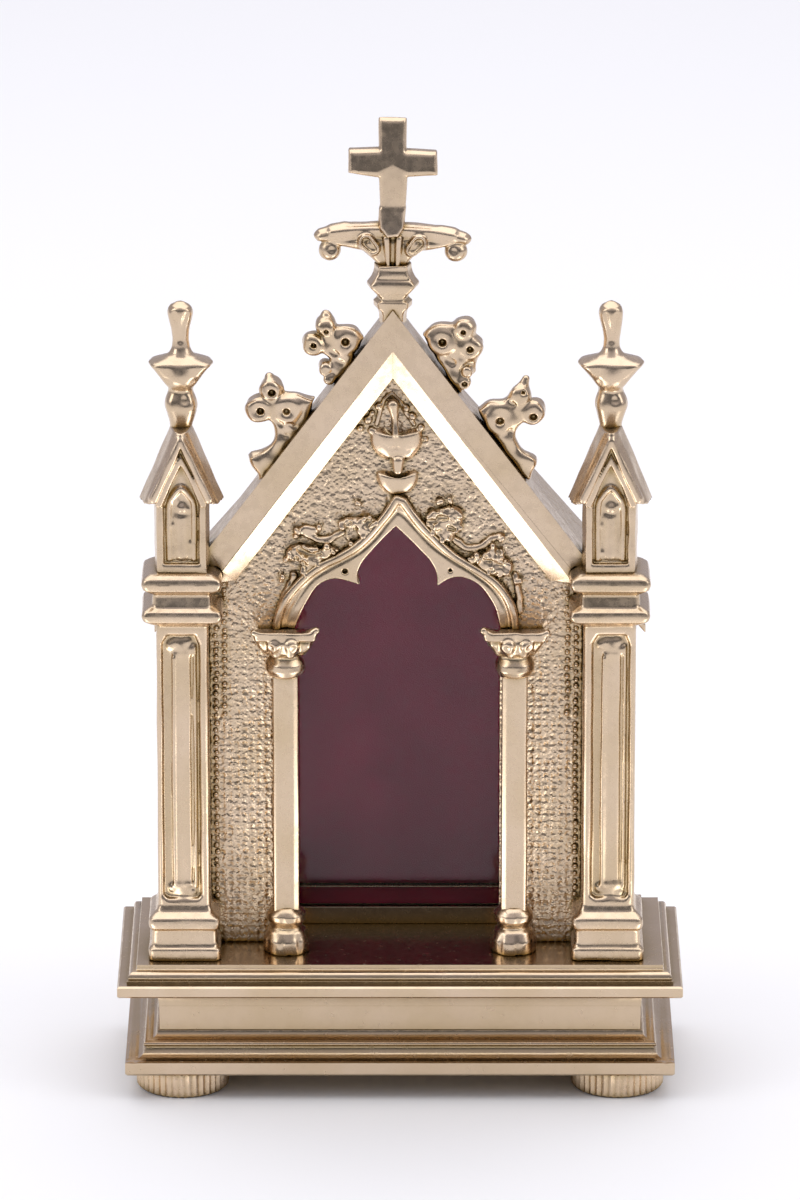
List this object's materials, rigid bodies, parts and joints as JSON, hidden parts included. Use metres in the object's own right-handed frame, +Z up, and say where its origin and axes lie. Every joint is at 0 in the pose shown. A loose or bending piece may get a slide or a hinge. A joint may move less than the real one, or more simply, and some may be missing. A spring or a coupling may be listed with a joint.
{
  "type": "reliquary monstrance",
  "caption": "Small Gothic brass shrine with a glazed trefoil window, pinnacles and a cross, on a stepped base; its lined niche opens by a hinged rear door.",
  "frame": {"origin": "middle of the base, in the plane that the four feet stand on", "axes": "+X to the right, -Y to the glazed front, +Z up"},
  "size_m": [0.12, 0.0494, 0.2127],
  "materials": {
    "brass_cast": "polished cast brass, soft edges, brown tarnish in the recesses",
    "brass_stippled": "cast brass with a punched and pebbled matt ground",
    "brass_base": "polished brass mouldings, mirror bright on the deck",
    "brass_feet": "turned and fluted brass, worn bright",
    "brass_sheet": "rolled sheet brass, lightly tarnished",
    "brass_fittings": "small turned brass fittings, satin",
    "velvet": "short-pile crimson velvet glued on card",
    "glass": "clear flat pane with a polished surface"
  },
  "bodies": {
    "shrine": {"apex_bracket": "brass_cast", "apex_knop": "brass_cast", "arch_hood": "brass_cast", "base_bottom_plate": "brass_base", "base_deck": "brass_base", "base_plinth": "brass_base", "base_studs": "brass_fittings", "casket_roof": "brass_sheet", "casket_wall_left": "brass_sheet", "casket_wall_right": "brass_sheet", "colonnette_base_left": "brass_cast", "colonnette_base_right": "brass_cast", "colonnette_capital_left": "brass_cast", "colonnette_capital_right": "brass_cast", "colonnette_shaft_left": "brass_cast", "colonnette_shaft_right": "brass_cast", "crocket_left_lower": "brass_cast", "crocket_left_upper": "brass_cast", "crocket_right_lower": "brass_cast", "crocket_right_upper": "brass_cast", "cross": "brass_cast", "facade_panel": "brass_stippled", "foot_front_left": "brass_feet", "foot_front_right": "brass_feet", "foot_rear_left": "brass_feet", "foot_rear_right": "brass_feet", "gable_coping": "brass_cast", "glass_channel_left": "brass_sheet", "glass_channel_right": "brass_sheet", "glass_rail": "brass_sheet", "hinge_leaves_frame": "brass_fittings", "hinge_pins": "brass_fittings", "hood_fleuron": "brass_cast", "hood_leaves_left": "brass_cast", "hood_leaves_right": "brass_cast", "niche_ceiling_lining": "velvet", "niche_floor_lining": "velvet", "niche_side_lining_left": "velvet", "niche_side_lining_right": "velvet", "pier_left": "brass_cast", "pier_right": "brass_cast", "pinnacle_finial_left": "brass_cast", "pinnacle_finial_right": "brass_cast", "pinnacle_left": "brass_cast", "pinnacle_right": "brass_cast", "rear_frame": "brass_sheet", "turn_button_screw": "brass_fittings", "window_glass": "glass"},
    "door": {"rear_door": "brass_sheet", "door_lining": "velvet", "hinge_leaves_door": "brass_fittings", "door_knob": "brass_fittings"},
    "latch": {"turn_button": "brass_fittings"}
  },
  "joints": [
    {"name": "rear_door_hinge", "type": "hinge", "parent": "shrine", "child": "door", "pos_m": [-0.029, 0.0212, 0.0789], "axis": [0, 0, 1], "range_deg": [0, 165]},
    {"name": "turn_button_pivot", "type": "hinge", "parent": "shrine", "child": "latch", "pos_m": [0.0326, 0.0214, 0.078], "axis": [0, 1, 0], "range_deg": [-90, 90]}
  ]
}
